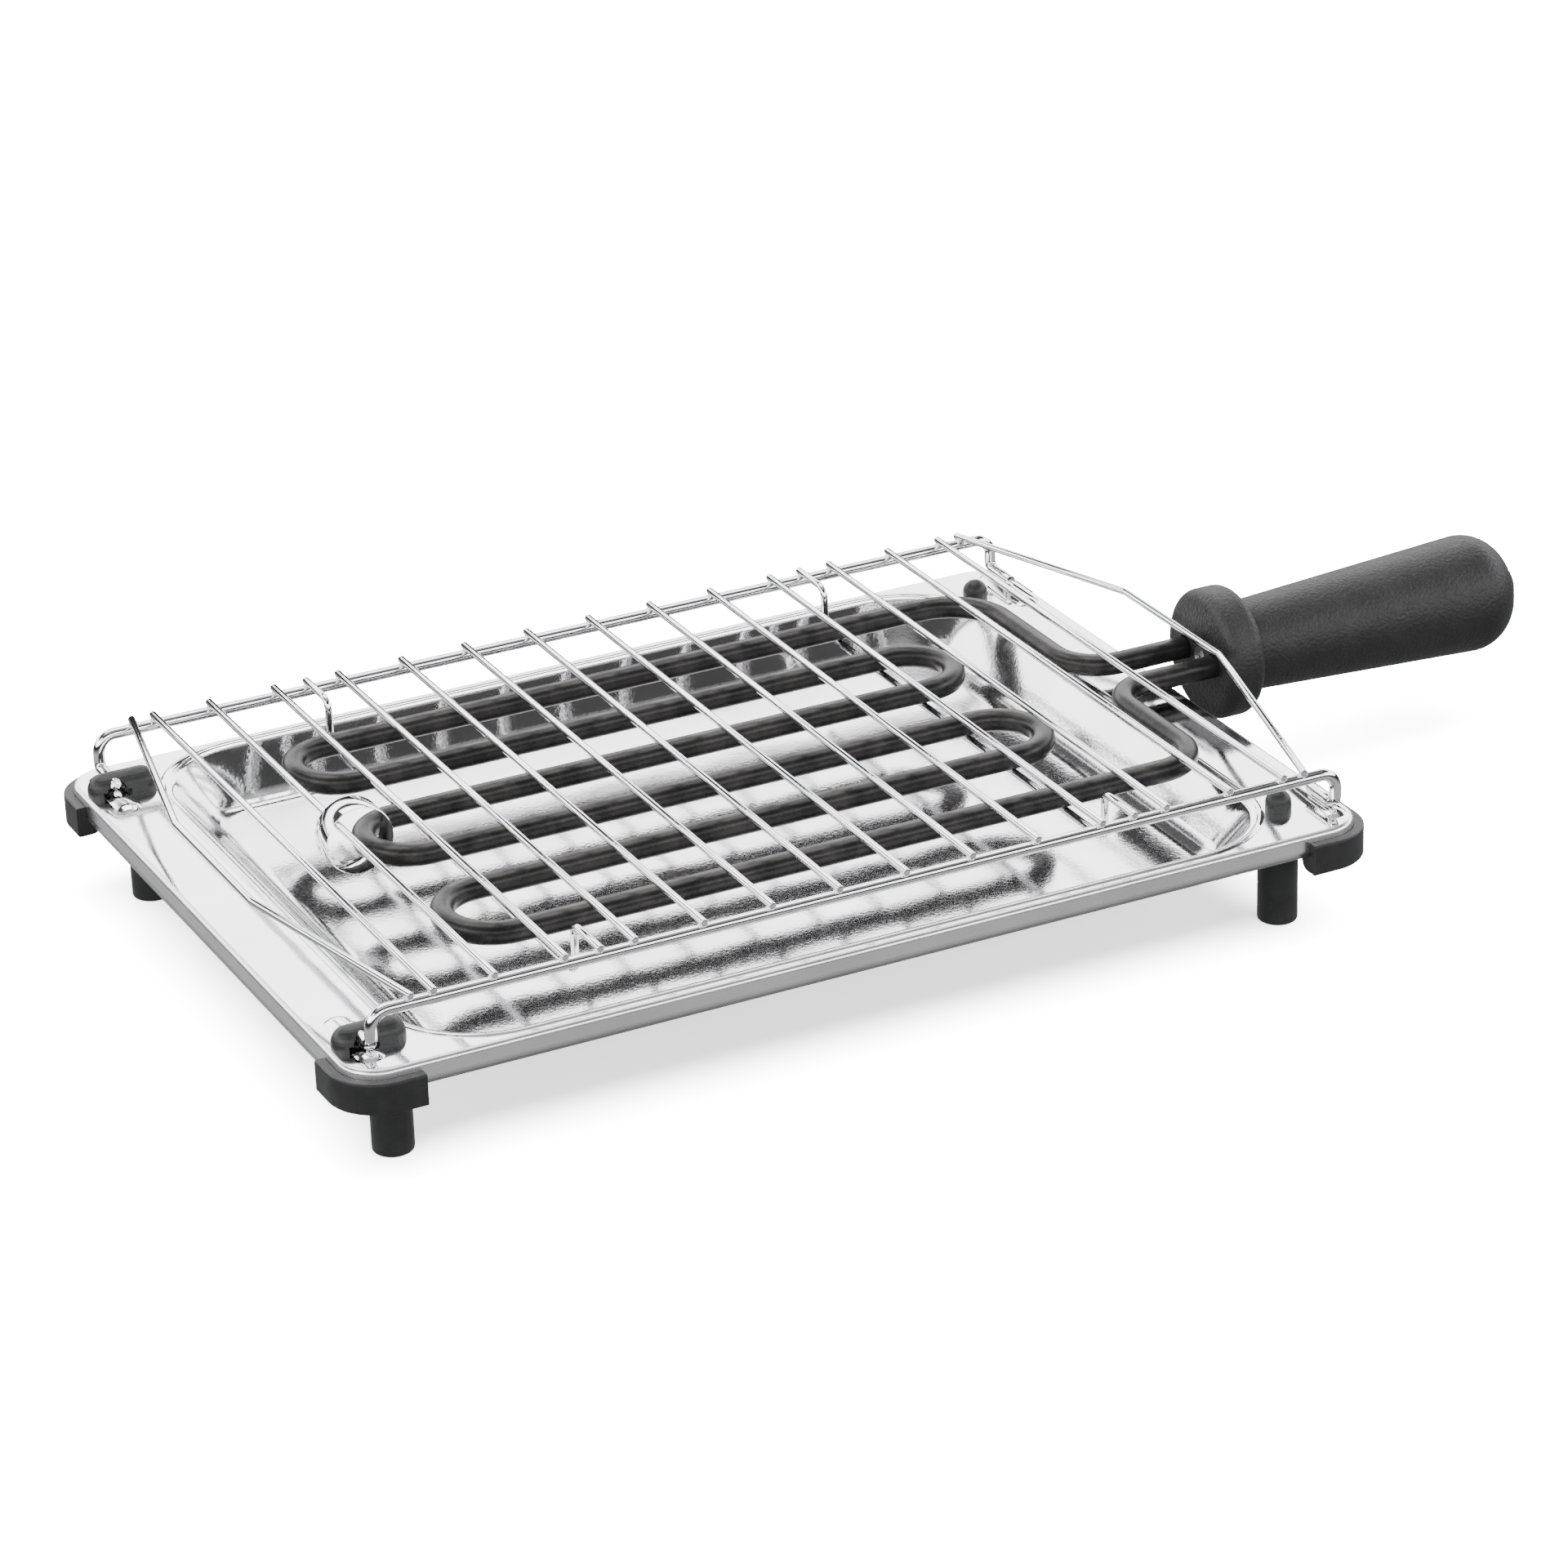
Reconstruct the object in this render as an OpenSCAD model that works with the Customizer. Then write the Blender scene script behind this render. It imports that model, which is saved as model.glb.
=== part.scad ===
// Electric table grill: a drawn steel drip tray on four feet, with a welded wire grid and a
// tubular heating element that lift together by one handle, on a hinge at the left end.
// X runs along the grill towards the handle, Y runs to the back, Z is up.

/* [Tray] */
// Length of the tray over its skirt
tray_l = 426; // [380:1:480]
// Width of the tray over its skirt
tray_w = 300; // [270:1:350]
// Height of the tray's flat top above the table
tray_h = 47.5; // [42:0.5:58]
// Thickness of the tray's sheet steel
sheet_t = 0.8; // [0.6:0.1:1.2]
// Outer radius of the tray's corners
corner_r = 16; // [12:1:24]
// Outer radius of the bend from the top to the skirt
rim_r = 2; // [1.5:0.1:2.5]
// Height of the turned-down skirt
skirt_h = 9; // [7:0.5:12]

/* [Pan] */
// Flat end of the tray outside the pan, at the left and at the right
end_flange = 30; // [29:1:36]
// Flat side of the tray outside the pan, at the front and at the back
side_flange = 6; // [5.5:0.5:12]
// Corner radius of the pan's mouth
mouth_r = 40; // [34:1:44]
// Depth of the pan below the tray's top
pan_depth = 20; // [14:1:24]
// Slope of the pan's wall, from level
wall_angle = 50; // [45:1:60]
// Radius where the top bends into the pan
lip_r = 4; // [3:0.5:5]
// Radius where the pan's wall bends into its floor
floor_r = 13; // [8:1:15]
// Width of the raised bead round the mouth
bead_w = 2.8; // [2:0.1:3]
// Height of that bead
bead_h = 0.8; // [0.5:0.1:1.2]

/* [Supports] */
// Distance of the feet's screws from the tray's ends
foot_in_x = 24.5; // [23.5:0.5:28]
// Distance of the feet's screws from the tray's sides
foot_in_y = 27.5; // [25:0.5:32]
// Radius of a foot
foot_r = 8; // [7.5:0.5:9.5]
// Radius of a foot screw's shank
screw_r = 2; // [1.5:0.25:2.5]
// Width of a locating ridge pressed up in the tray
ridge_w = 11; // [9:0.5:12]
// Height of a locating ridge
ridge_h = 2; // [1.8:0.1:3]
// Length of a locating ridge
ridge_l = 40; // [36:1:44]
// Radius of the rounded hinge blocks, half their width
block_r = 6.5; // [6.2:0.1:6.8]
// Thickness of a hinge block over the toe's bore
block_roof = 0.9; // [0.8:0.1:2]
// How far outside its foot's screw the middle of a hinge block lies
block_off = 2.5; // [0:0.1:2.5]
// Radius of the arch at the front and the back of a hinge block
arch_r = 4; // [3.5:0.1:4.4]
// Radius of the domed nuts at the handle end
cap_r = 5.2; // [4.5:0.1:6]
// Height of a domed nut's straight part
cap_h = 2.4; // [1.5:0.1:4]

/* [Corner guards] */
// Thickness of a guard outside the skirt
guard_t = 4; // [3:0.5:6]
// Depth of a guard inside the skirt
guard_in = 5.6; // [4:0.2:7]
// Height of a guard
guard_h = 12.5; // [11:0.5:15]
// Depth of the skirt in the guard's groove
guard_grip = 5.5; // [4:0.5:6.5]
// Straight length of each arm past the corner
guard_arm = 11; // [8:1:16]

/* [Grid] */
// Radius of the two bent rails
rail_r = 2.4; // [2:0.1:2.6]
// Radius of the grid's cross wires
wire_r = 1.5; // [1.25:0.05:1.75]
// Number of straight cross wires
wire_count = 14; // [10:1:16]
// Spacing of the first and the last pair of cross wires
end_pitch = 24; // [16:0.5:26]
// Distance of the rails from the tray's sides
rail_in = 11.7; // [10:0.1:16]
// Distance of the hinge from the tray's left end
hinge_in = 12.5; // [11.5:0.5:13]
// Distance of the right legs from the tray's right end
rest_in = 8.5; // [8:0.5:13]
// Height of the rails above the toes
leg_h = 13.6; // [12:0.1:20]
// Length of a toe from its leg
toe_l = 18; // [17:0.5:22]
// Radius of the bend from a rail to its leg
leg_bend = 7; // [6:0.5:8]
// Radius of the bend from a leg to its toe
toe_bend = 3.6; // [3.4:0.1:4]
// How far a cross wire is sunk into a rail by its weld
weld_sink = 0.25; // [0.1:0.05:0.3]
// Bulge of the left end wire beyond the rails' last weld
left_bulge = 20.5; // [12:0.5:22]
// Bulge of the right end wire
right_bulge = 31; // [20:0.5:33]
// Distance from the last cross wire to an end wire's ends
end_gap = 9; // [6:0.5:10]
// Distance from a leg to the end wire's ends
end_in = 15.5; // [12:0.5:20]

/* [Heating element] */
// Radius of the element's sheath
tube_r = 4.75; // [4:0.05:5]
// Spacing of the last two runs
last_pitch = 41; // [36:0.5:42]
// Distance of the back run from the cradle wires' uprights
back_run_in = 12.5; // [10:0.5:16]
// Distance of the front run from the cradle wires' uprights
front_run_in = 31.5; // [20:0.5:36]
// Gap from the element's top to the cross wires' underside
tube_gap = 7; // [6:0.1:10]
// Distance of the left turns' middle from the left legs
left_turn_in = 82; // [78:0.5:94]
// How much further left the middle turn reaches
middle_turn_out = 1.4; // [0:0.2:3]
// Distance of the right turns' middle from the right legs
right_turn_in = 87.5; // [80:0.5:98]
// Distance of the element's crossing part from the right legs
cross_in = 27; // [24:0.5:32]
// Radius of the wide corners on the way to the handle
sweep_r = 25; // [20:1:30]
// Radius of the tight corners on the way to the handle
lead_r = 19; // [16:0.5:22]
// Distance between the two leads
lead_span = 23; // [22:0.5:25]
// Middle of the leads, behind the middle of the grid
handle_y = 3.5; // [0:0.5:8]
// Distance of the cradle wires from the legs
cradle_in_x = 90.5; // [84:0.5:98]
// Distance of a cradle wire's uprights from the rails
cradle_in_y = 21.3; // [16:0.1:25]
// Bend radius of a cradle wire
cradle_bend = 4.5; // [3.5:0.5:6]
// Slack of the ring clip round the wire and the element
ring_slack = 0.1; // [0.1:0.1:1]
// Thickness of the ring clip's sheet
ring_t = 0.7; // [0.5:0.1:1]
// Width of the ring clip, as a part of the runs' spacing
ring_part = 0.32; // [0.2:0.01:0.34]

/* [Handle] */
// Distance from the tray's edge to the collar
collar_gap = 15; // [14:1:40]
// Radius of the collar
collar_r = 27.3; // [25:0.1:30]
// Thickness of the collar
collar_t = 17; // [12:0.5:20]
// Length of the grip
grip_l = 129; // [110:1:160]
// Wall of the grip at the collar
neck_wall = 1.6; // [1.5:0.1:3]
// Radius of the grip at its thick end
butt_r = 24.7; // [23:0.1:28]
// Material round the leads where they enter the grip
lead_rim = 0.95; // [0.8:0.05:1.2]
// Thickness of the grip's end wall
end_wall = 18; // [14:1:24]
// Radius of the cord that the gland takes
cord_r = 3.6; // [3:0.1:4]

/* [Hidden] */
$fn = 48;
eps = 0.01;
hull_fn = 32;
arc_steps = 6;
sides = [-1, 1];

// running clearance of a toe in its hinge block, and of a screw in a drilled hole
hinge_clear = 0.06;
hole_clear = 0.2;
// gap between a toe and the ridge that it lies on
rest_gap = 0.05;

// pan outline at its mouth and at its floor
mouth_l = tray_l - 2 * end_flange;
mouth_w = tray_w - 2 * side_flange;
wall_drop = (lip_r + floor_r) * (1 - cos(wall_angle));
wall_straight = (pan_depth - wall_drop) / sin(wall_angle);
wall_run = (lip_r + floor_r) * sin(wall_angle) + wall_straight * cos(wall_angle);

// screw and corner positions in the tray
foot_x = tray_l / 2 - foot_in_x;
foot_y = tray_w / 2 - foot_in_y;
corner_x = tray_l / 2 - corner_r;
corner_y = tray_w / 2 - corner_r;

// foot, screw and washer
foot_top = tray_h - sheet_t;
foot_edge = 1.2;
foot_socket_r = screw_r + 2.4;
foot_socket_h = 14;
washer_t = 0.8;
washer_r = screw_r + 2.1;
head_h = 2.4;
head_r = screw_r + 1.7;
head_slot_w = 0.8;
head_slot_d = 1.2;
screw_up = 4.6;
screw_tip_gap = 0.6;

// hinge axis, and the grid's own levels and middle
toe_z = tray_h + ridge_h + rail_r + rest_gap;
hinge_x = -tray_l / 2 + hinge_in;
leg_span = tray_l - hinge_in - rest_in;
grid_x = hinge_x + leg_span / 2;
rail_z = toe_z + leg_h;
rail_y = tray_w / 2 - rail_in;
wire_z = rail_z + rail_r + wire_r - weld_sink;
wire_end = rail_y + rail_r * 0.9;
end_wire_x = leg_span / 2 - end_in;
inner_half = end_wire_x - end_gap - end_pitch;
wire_pitch = 2 * inner_half / (wire_count - 3);
ridge_y = rail_y - 16.5;
left_bend_y = 39;
right_bend_front = 26;
right_bend_back = 50;
end_bend = 9;

// hinge block: from over the foot's screw to past the toe
block_out_x = tray_l / 2 - 8.8;
block_h = toe_z + rail_r + hinge_clear + block_roof - tray_h;
block_y = foot_y + block_off;
channel_clear = 0.3;
arch_in = 3.2;

// heating element
tube_z = wire_z - wire_r - tube_gap - tube_r;
cradle_x = leg_span / 2 - cradle_in_x;
cradle_y = rail_y - cradle_in_y;
back_run_y = cradle_y - back_run_in;
front_run_y = -(cradle_y - front_run_in);
run_pitch = (back_run_y - front_run_y - last_pitch) / 4;
left_turn_x = leg_span / 2 - left_turn_in;
right_turn_x = leg_span / 2 - right_turn_in;
run_y = [for (i = [0 : 5]) back_run_y - i * run_pitch - (i == 5 ? last_pitch - run_pitch : 0)];
lead_back_y = handle_y + lead_span / 2;
lead_front_y = handle_y - lead_span / 2;
cross_x = leg_span / 2 - cross_in;
cradle_z = tube_z - tube_r - wire_r;

// ring clip: touches the second cross wire and goes round the element's middle turn
clip_wire = [-inner_half, wire_z];
clip_tube = [-left_turn_x - middle_turn_out - run_pitch / 2, tube_z];
clip_gap = norm(clip_tube - clip_wire);
ring_w = run_pitch * ring_part;
turn_in_r = run_pitch / 2 - tube_r;
turn_sag = turn_in_r - sqrt(turn_in_r * turn_in_r - ring_w * ring_w / 4);
ring_r = (clip_gap + wire_r + tube_r + turn_sag + ring_slack) / 2;
ring_at = clip_wire + (clip_tube - clip_wire) * (ring_r - wire_r) / clip_gap;
ring_y = (run_y[2] + run_y[3]) / 2;

// handle, from the collar's face to the grip's end, measured from the tray's middle
handle_z = tube_z;
collar_x = tray_l / 2 + collar_gap;
collar_edge = 5;
collar_back = collar_x + collar_t;
spigot_l = 4;
grip_bore_r = lead_span / 2 + tube_r + lead_rim;
neck_r = grip_bore_r + neck_wall;
spigot_r = grip_bore_r - 0.1;
grip_end = collar_back + grip_l;
butt_edge = 18;
neck_edge = 1.5;
bridge_x = collar_back + spigot_l;
bridge_t = 3;
bridge_r = spigot_r - 0.2;
bolt_r = 2;
bolt_head_r = 4;
bolt_head_h = 2.2;
tag_t = 0.8;
tag_w = 8;
tag_l = 16;
nut_af = 7;
nut_t = 3.2;
bolt_end = bridge_x + bridge_t + tag_t + nut_t + 1.5;
lead_end = bridge_x + bridge_t + 12;
seal_l = 5;
seal_r = tube_r - 0.5;
pin_r = 1.6;
pin_l = 18;
block_x = lead_end + seal_l + 4;
block_l = 22;
block_w = 2 * (lead_span / 2 + 3.4);
block_t = 9;
term_clear = 0.1;
term_screw_r = 1.5;
term_screw_h = 5;
pin_depth = 9;
wall_x = grip_end - end_wall;
clamp_t = 3;
clamp_w = 2 * cord_r + 2.8;
clamp_screw_r = 1.6;
clamp_screw_l = 12;
clamp_head_r = 2.9;
clamp_head_h = 1.8;
gland_r = cord_r + 2.4;
clamp_screw_y = gland_r + clamp_screw_r + 2.9;
clamp_l = 2 * clamp_screw_y + 7;
gland_lip_r = gland_r + 2.4;
gland_lip_t = 2.5;

// the whole is moved so that the origin is under the middle of its footprint
shift_x = -(grip_end + gland_lip_t - tray_l / 2 - guard_t) / 2;

feet = ["front_left", "front_right", "rear_left", "rear_right"];

// ---- shared shapes ----

module placed() translate([shift_x, 0, 0]) children();

function side_x(i) = i % 2 == 0 ? -1 : 1;
function side_y(i) = i < 2 ? -1 : 1;

function arc(cx, cy, r, from, to, steps = arc_steps) =
    [for (i = [0 : steps]) let (a = from + (to - from) * i / steps) [cx + r * cos(a), cy + r * sin(a)]];

function reversed(list) = [for (i = [len(list) - 1 : -1 : 0]) list[i]];

// flat rectangle with round corners
module round_rect(l, w, r) {
    square([l - 2 * r, w], center = true);
    square([l, w - 2 * r], center = true);
    for (sx = sides)
        for (sy = sides)
            translate([sx * (l / 2 - r), sy * (w / 2 - r)]) circle(r);
}

// carries an upright outline round such a rectangle; the outline's X is measured from the
// middle of a corner's arc
module around_rect(l, w, r) {
    for (k = [0 : 3]) {
        along = k % 2 == 0 ? l : w;
        across = k % 2 == 0 ? w : l;
        rotate(90 * k) translate([along / 2 - r, across / 2 - r, 0]) {
            rotate([90, 0, 0]) linear_extrude(across - 2 * r) children();
            rotate_extrude(angle = 90) children();
        }
    }
}

// round bar from point a to point b
module bar(a, b, r) {
    d = b - a;
    translate(a) rotate([0, acos(d[2] / norm(d)), atan2(d[1], d[0])]) cylinder(r = r, h = norm(d));
}

// round bar bent in the XY plane: middle of the bend, its radius, first angle and sweep
module bend_flat(middle, bend, from, sweep, r) {
    translate(middle) rotate(from) rotate_extrude(angle = sweep) translate([bend, 0]) circle(r);
}

// the same bend in the XZ plane, angles from +X towards +Z
module bend_upright(middle, bend, from, sweep, r) {
    translate(middle) rotate([90, 0, 0]) rotate(from) rotate_extrude(angle = sweep)
        translate([bend, 0]) circle(r);
}

// the same bend in the YZ plane, angles from +Y towards +Z
module bend_side(middle, bend, from, sweep, r) {
    translate(middle) rotate([90, 0, 90]) rotate(from) rotate_extrude(angle = sweep)
        translate([bend, 0]) circle(r);
}

// turned part of the handle: an outline in (distance along X, radius)
module turned() translate([0, handle_y, handle_z]) rotate([90, 0, 90]) rotate_extrude() children();

// ---- base: tray, feet, guards, hinge blocks and fasteners ----

module wall_outline() {
    top = arc(mouth_r, tray_h - lip_r, lip_r, 90, 90 + wall_angle);
    foot_mid = [mouth_r - wall_run, tray_h - pan_depth + floor_r];
    bottom = arc(foot_mid[0], foot_mid[1], floor_r, wall_angle - 90, -90);
    under_top = arc(mouth_r, tray_h - lip_r, lip_r - sheet_t, 90, 90 + wall_angle);
    under_bottom = arc(foot_mid[0], foot_mid[1], floor_r + sheet_t, wall_angle - 90, -90);
    polygon(concat(top, bottom, reversed(concat(under_top, under_bottom))));
}

module rim_outline() {
    middle = [corner_r - rim_r, tray_h - rim_r];
    outer = arc(middle[0], middle[1], rim_r, 90, 0);
    inner = arc(middle[0], middle[1], rim_r - sheet_t, 90, 0);
    polygon(concat(outer, [[corner_r, tray_h - skirt_h], [corner_r - sheet_t, tray_h - skirt_h]],
        reversed(inner)));
}

module bead_outline() {
    bump = (bead_w * bead_w / 4 + bead_h * bead_h) / (2 * bead_h);
    half = asin(bead_w / 2 / bump);
    polygon(arc(mouth_r + bead_w / 2, tray_h + bead_h - bump, bump, 90 + half, 90 - half));
}

// long round-topped swelling of a given width, height and length
module ridge(w, h, l) {
    bump = (w * w / 4 + h * h) / (2 * h);
    half = asin(w / 2 / bump);
    straight = l - w;
    rotate([90, 0, 0]) linear_extrude(straight, center = true)
        polygon(arc(0, h - bump, bump, 90 + half, 90 - half, 2 * arc_steps));
    for (s = sides)
        translate([0, s * straight / 2, 0]) rotate(s > 0 ? 0 : 180) rotate_extrude(angle = 180)
            polygon(concat([[0, 0]], arc(0, h - bump, bump, 90 - half, 90)));
}

module drip_tray() {
    floor_z = tray_h - pan_depth;
    mark_r = 0.6;
    mark_l = 36;
    mark_drop = 10;
    mark_in = lip_r * sin(wall_angle) + (mark_drop - lip_r * (1 - cos(wall_angle))) / tan(wall_angle);
    placed() color("gainsboro") difference() {
        union() {
            around_rect(tray_l, tray_w, corner_r) rim_outline();
            translate([0, 0, tray_h - sheet_t]) linear_extrude(sheet_t) difference() {
                round_rect(tray_l - 2 * rim_r, tray_w - 2 * rim_r, corner_r - rim_r);
                round_rect(mouth_l, mouth_w, mouth_r);
            }
            around_rect(mouth_l, mouth_w, mouth_r) {
                wall_outline();
                bead_outline();
            }
            translate([0, 0, floor_z - sheet_t]) linear_extrude(sheet_t)
                round_rect(mouth_l - 2 * wall_run, mouth_w - 2 * wall_run, mouth_r - wall_run);
            for (x = [hinge_x, hinge_x + leg_span])
                for (s = sides)
                    translate([x, s * ridge_y, tray_h]) ridge(ridge_w, ridge_h, ridge_l);
            // filling mark, pressed up in the front wall
            translate([mouth_l / 4, mark_in - mouth_w / 2, tray_h - mark_drop]) rotate([0, 90, 0])
                cylinder(r = mark_r, h = mark_l);
        }
        for (sx = sides)
            for (sy = sides)
                translate([sx * foot_x, sy * foot_y, tray_h - 2 * sheet_t])
                    cylinder(r = screw_r + hole_clear, h = 3 * sheet_t);
        // the ridges are hollow underneath
        for (x = [hinge_x, hinge_x + leg_span])
            for (s = sides)
                translate([x, s * ridge_y, tray_h - sheet_t])
                    ridge(ridge_w - 2 * sheet_t, ridge_h, ridge_l - 2 * sheet_t);
    }
}

module foot(i) {
    placed() color("#1b1b1c") translate([side_x(i) * foot_x, side_y(i) * foot_y, 0]) difference() {
        rotate_extrude() polygon(concat([[0, foot_top], [0, 0]],
            arc(foot_r - foot_edge, foot_edge, foot_edge, -90, 0), [[foot_r, foot_top]]));
        translate([0, 0, -eps]) cylinder(r = foot_socket_r, h = foot_socket_h + eps);
        cylinder(r = screw_r + hole_clear, h = foot_top + eps);
    }
}

module foot_screws() {
    head_z = foot_socket_h - washer_t - head_h;
    placed() color("silver") for (i = [0 : 3])
        translate([side_x(i) * foot_x, side_y(i) * foot_y, 0]) difference() {
            union() {
                translate([0, 0, head_z]) cylinder(r = head_r, h = head_h);
                translate([0, 0, head_z + head_h])
                    cylinder(r = screw_r, h = tray_h + screw_up - head_z - head_h);
            }
            for (a = [0, 90])
                rotate(a) translate([-head_r * 0.7, -head_slot_w / 2, head_z - eps])
                    cube([head_r * 1.4, head_slot_w, head_slot_d]);
        }
}

module screw_washers() {
    placed() color("silver") for (i = [0 : 3])
        translate([side_x(i) * foot_x, side_y(i) * foot_y, foot_socket_h - washer_t]) difference() {
            cylinder(r = washer_r, h = washer_t);
            translate([0, 0, -eps]) cylinder(r = screw_r + hole_clear, h = washer_t + 2 * eps);
        }
}

// rounded block, screwed down over the foot, with a bore that the grid's toe turns in
module hinge_block(s) {
    front = s * block_y - block_r;
    low = tray_h + ridge_h + channel_clear;
    placed() color("#161616") difference() {
        hull() for (x = [-foot_x, -block_out_x])
            translate([x, s * block_y, tray_h]) rotate_extrude($fn = hull_fn)
                polygon(concat([[0, 0], [block_r, 0]],
                    arc(0, block_h - block_r, block_r, 0, 90, hull_fn / 4)));
        translate([-foot_x, s * foot_y, tray_h - eps])
            cylinder(r = screw_r, h = screw_up + screw_tip_gap);
        translate([hinge_x, front - 1, toe_z]) rotate([-90, 0, 0])
            cylinder(r = rail_r + hinge_clear, h = 2 * block_r + 2);
        translate([hinge_x - ridge_w / 2 - channel_clear, front - 1, tray_h - eps])
            cube([ridge_w + 2 * channel_clear, 2 * block_r + 2, low - tray_h + eps]);
        for (y = [front - 1, front + 2 * block_r - arch_in])
            translate([hinge_x, y, low]) rotate([-90, 0, 0]) cylinder(r = arch_r, h = arch_in + 1);
    }
}

module domed_nut(s) {
    placed() color("#161616") translate([foot_x, s * foot_y, tray_h]) difference() {
        rotate_extrude() polygon(concat([[0, 0], [cap_r, 0]], arc(0, cap_h, cap_r, 0, 90, 12)));
        translate([0, 0, -eps]) cylinder(r = screw_r, h = screw_up + screw_tip_gap);
    }
}

module guard_outline() {
    top = tray_h - skirt_h + guard_grip;
    low = top - guard_h;
    seat = tray_h - skirt_h;
    slot = 0.15;
    soft = 0.8;
    under = 3.6;
    outer = corner_r + guard_t;
    inner = corner_r - guard_in;
    polygon(concat(
        [[corner_r + slot, seat], [corner_r + slot, top]],
        arc(outer - soft, top - soft, soft, 90, 0, 3),
        arc(outer - soft, low + soft, soft, 0, -90, 3),
        arc(inner + under, low + under, under, -90, -180),
        [[inner, top], [corner_r - sheet_t - slot, top], [corner_r - sheet_t - slot, seat]]));
}

module corner_guard(i) {
    quarter = side_y(i) > 0 ? (side_x(i) > 0 ? 0 : 1) : (side_x(i) > 0 ? 3 : 2);
    placed() color("#1b1b1c") translate([side_x(i) * corner_x, side_y(i) * corner_y, 0])
        rotate(90 * quarter) {
            rotate_extrude(angle = 90) guard_outline();
            rotate([90, 0, 0]) linear_extrude(guard_arm) guard_outline();
            rotate([90, 0, 90]) mirror([0, 0, 1]) linear_extrude(guard_arm) guard_outline();
        }
}

// ---- grid ----

// rail bent down to a leg at each end, with a toe turned in under the grid
module rail(s) {
    straight = leg_span / 2 - leg_bend;
    leg_top = rail_z - leg_bend;
    leg_low = toe_z + toe_bend;
    toe_from = rail_y - toe_bend;
    placed() color("#c9cbcd") translate([grid_x, 0, 0]) {
        bar([-straight, s * rail_y, rail_z], [straight, s * rail_y, rail_z], rail_r);
        for (e = sides) {
            bend_upright([e * straight, s * rail_y, leg_top], leg_bend, e > 0 ? 0 : 90, 90, rail_r);
            bar([e * leg_span / 2, s * rail_y, leg_low], [e * leg_span / 2, s * rail_y, leg_top], rail_r);
            bend_side([e * leg_span / 2, s * toe_from, leg_low], toe_bend, s > 0 ? 270 : 180, 90, rail_r);
            bar([e * leg_span / 2, s * toe_from, toe_z],
                [e * leg_span / 2, s * (rail_y - toe_l), toe_z], rail_r);
        }
    }
}

function wire_x(i) = i == 1 ? -inner_half - end_pitch
    : i == wire_count ? inner_half + end_pitch
    : (i - (wire_count + 1) / 2) * wire_pitch;

module cross_wire(i) {
    placed() color("#d4d6d8") translate([grid_x, 0, 0])
        bar([wire_x(i), -wire_end, wire_z], [wire_x(i), wire_end, wire_z], wire_r);
}

// points of a flat path that turns at b from the line a-b to the line b-c
function round_turn(a, b, c, bend) =
    let (u = (b - a) / norm(b - a), v = (c - b) / norm(c - b))
    let (t = atan2(u[0] * v[1] - u[1] * v[0], u * v))
    let (start = b - u * bend * tan(abs(t) / 2), out = bend * (t > 0 ? 1 : -1) * [u[1], -u[0]])
    [for (i = [0 : arc_steps]) let (w = t * i / arc_steps)
        start - out + [out[0] * cos(w) - out[1] * sin(w), out[0] * sin(w) + out[1] * cos(w)]];

// round wire along a flat path: a ring of corners square to the path at each of its points
module flat_wire(path, r) {
    n = 24;
    last = len(path) - 1;
    ways = [for (i = [0 : last]) let (d = path[min(i + 1, last)] - path[max(i - 1, 0)]) d / norm(d)];
    rings = [for (i = [0 : last]) for (k = [0 : n - 1]) let (a = 360 * k / n)
        [path[i][0] - ways[i][1] * r * cos(a), path[i][1] + ways[i][0] * r * cos(a), r * sin(a)]];
    skin = [for (i = [0 : last - 1]) for (k = [0 : n - 1]) let (m = (k + 1) % n)
        each [[i * n + k, i * n + m, i * n + n + m], [i * n + k, i * n + n + m, i * n + n + k]]];
    first_end = [for (k = [n - 1 : -1 : 0]) k];
    last_end = [for (k = [0 : n - 1]) last * n + k];
    polyhedron(points = rings, faces = concat(skin, [first_end, last_end]));
}

module end_wire(s) {
    out = end_wire_x + (s > 0 ? right_bulge : left_bulge);
    front_tip = [s * end_wire_x, -wire_end];
    rear_tip = [s * end_wire_x, wire_end];
    front = [s * out, s > 0 ? -right_bend_front : -left_bend_y];
    back = [s * out, s > 0 ? right_bend_back : left_bend_y];
    placed() color("#d4d6d8") translate([grid_x, 0, wire_z]) flat_wire(concat(
        [front_tip], round_turn(front_tip, front, back, end_bend),
        round_turn(front, back, rear_tip, end_bend), [rear_tip]), wire_r);
}

// wire hung from both rails, dipping under the heating element
module cradle_wire(s) {
    b = cradle_bend;
    placed() color("#d4d6d8") translate([grid_x + s * cradle_x, 0, 0]) {
        for (e = sides) {
            bar([0, e * wire_end, wire_z], [0, e * (cradle_y + b), wire_z], wire_r);
            bend_side([0, e * (cradle_y + b), wire_z - b], b, e > 0 ? 90 : 0, 90, wire_r);
            bar([0, e * cradle_y, wire_z - b], [0, e * cradle_y, cradle_z + b], wire_r);
            bend_side([0, e * (cradle_y - b), cradle_z + b], b, e > 0 ? 270 : 180, 90, wire_r);
        }
        bar([0, -(cradle_y - b), cradle_z], [0, cradle_y - b, cradle_z], wire_r);
    }
}

// open band that ties the element's middle turn to the second cross wire
module ring_clip() {
    placed() color("#dcdee0") translate([grid_x + ring_at[0], ring_y + ring_w / 2, ring_at[1]])
        rotate([90, 0, 0]) difference() {
            cylinder(r = ring_r + ring_t, h = ring_w);
            translate([0, 0, -eps]) cylinder(r = ring_r, h = ring_w + 2 * eps);
        }
}

// ---- heating element ----

function left_x(i) = -left_turn_x - (i == 2 ? middle_turn_out : 0);

module run(i, from, to) bar([from, run_y[i], 0], [to, run_y[i], 0], tube_r);

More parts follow.
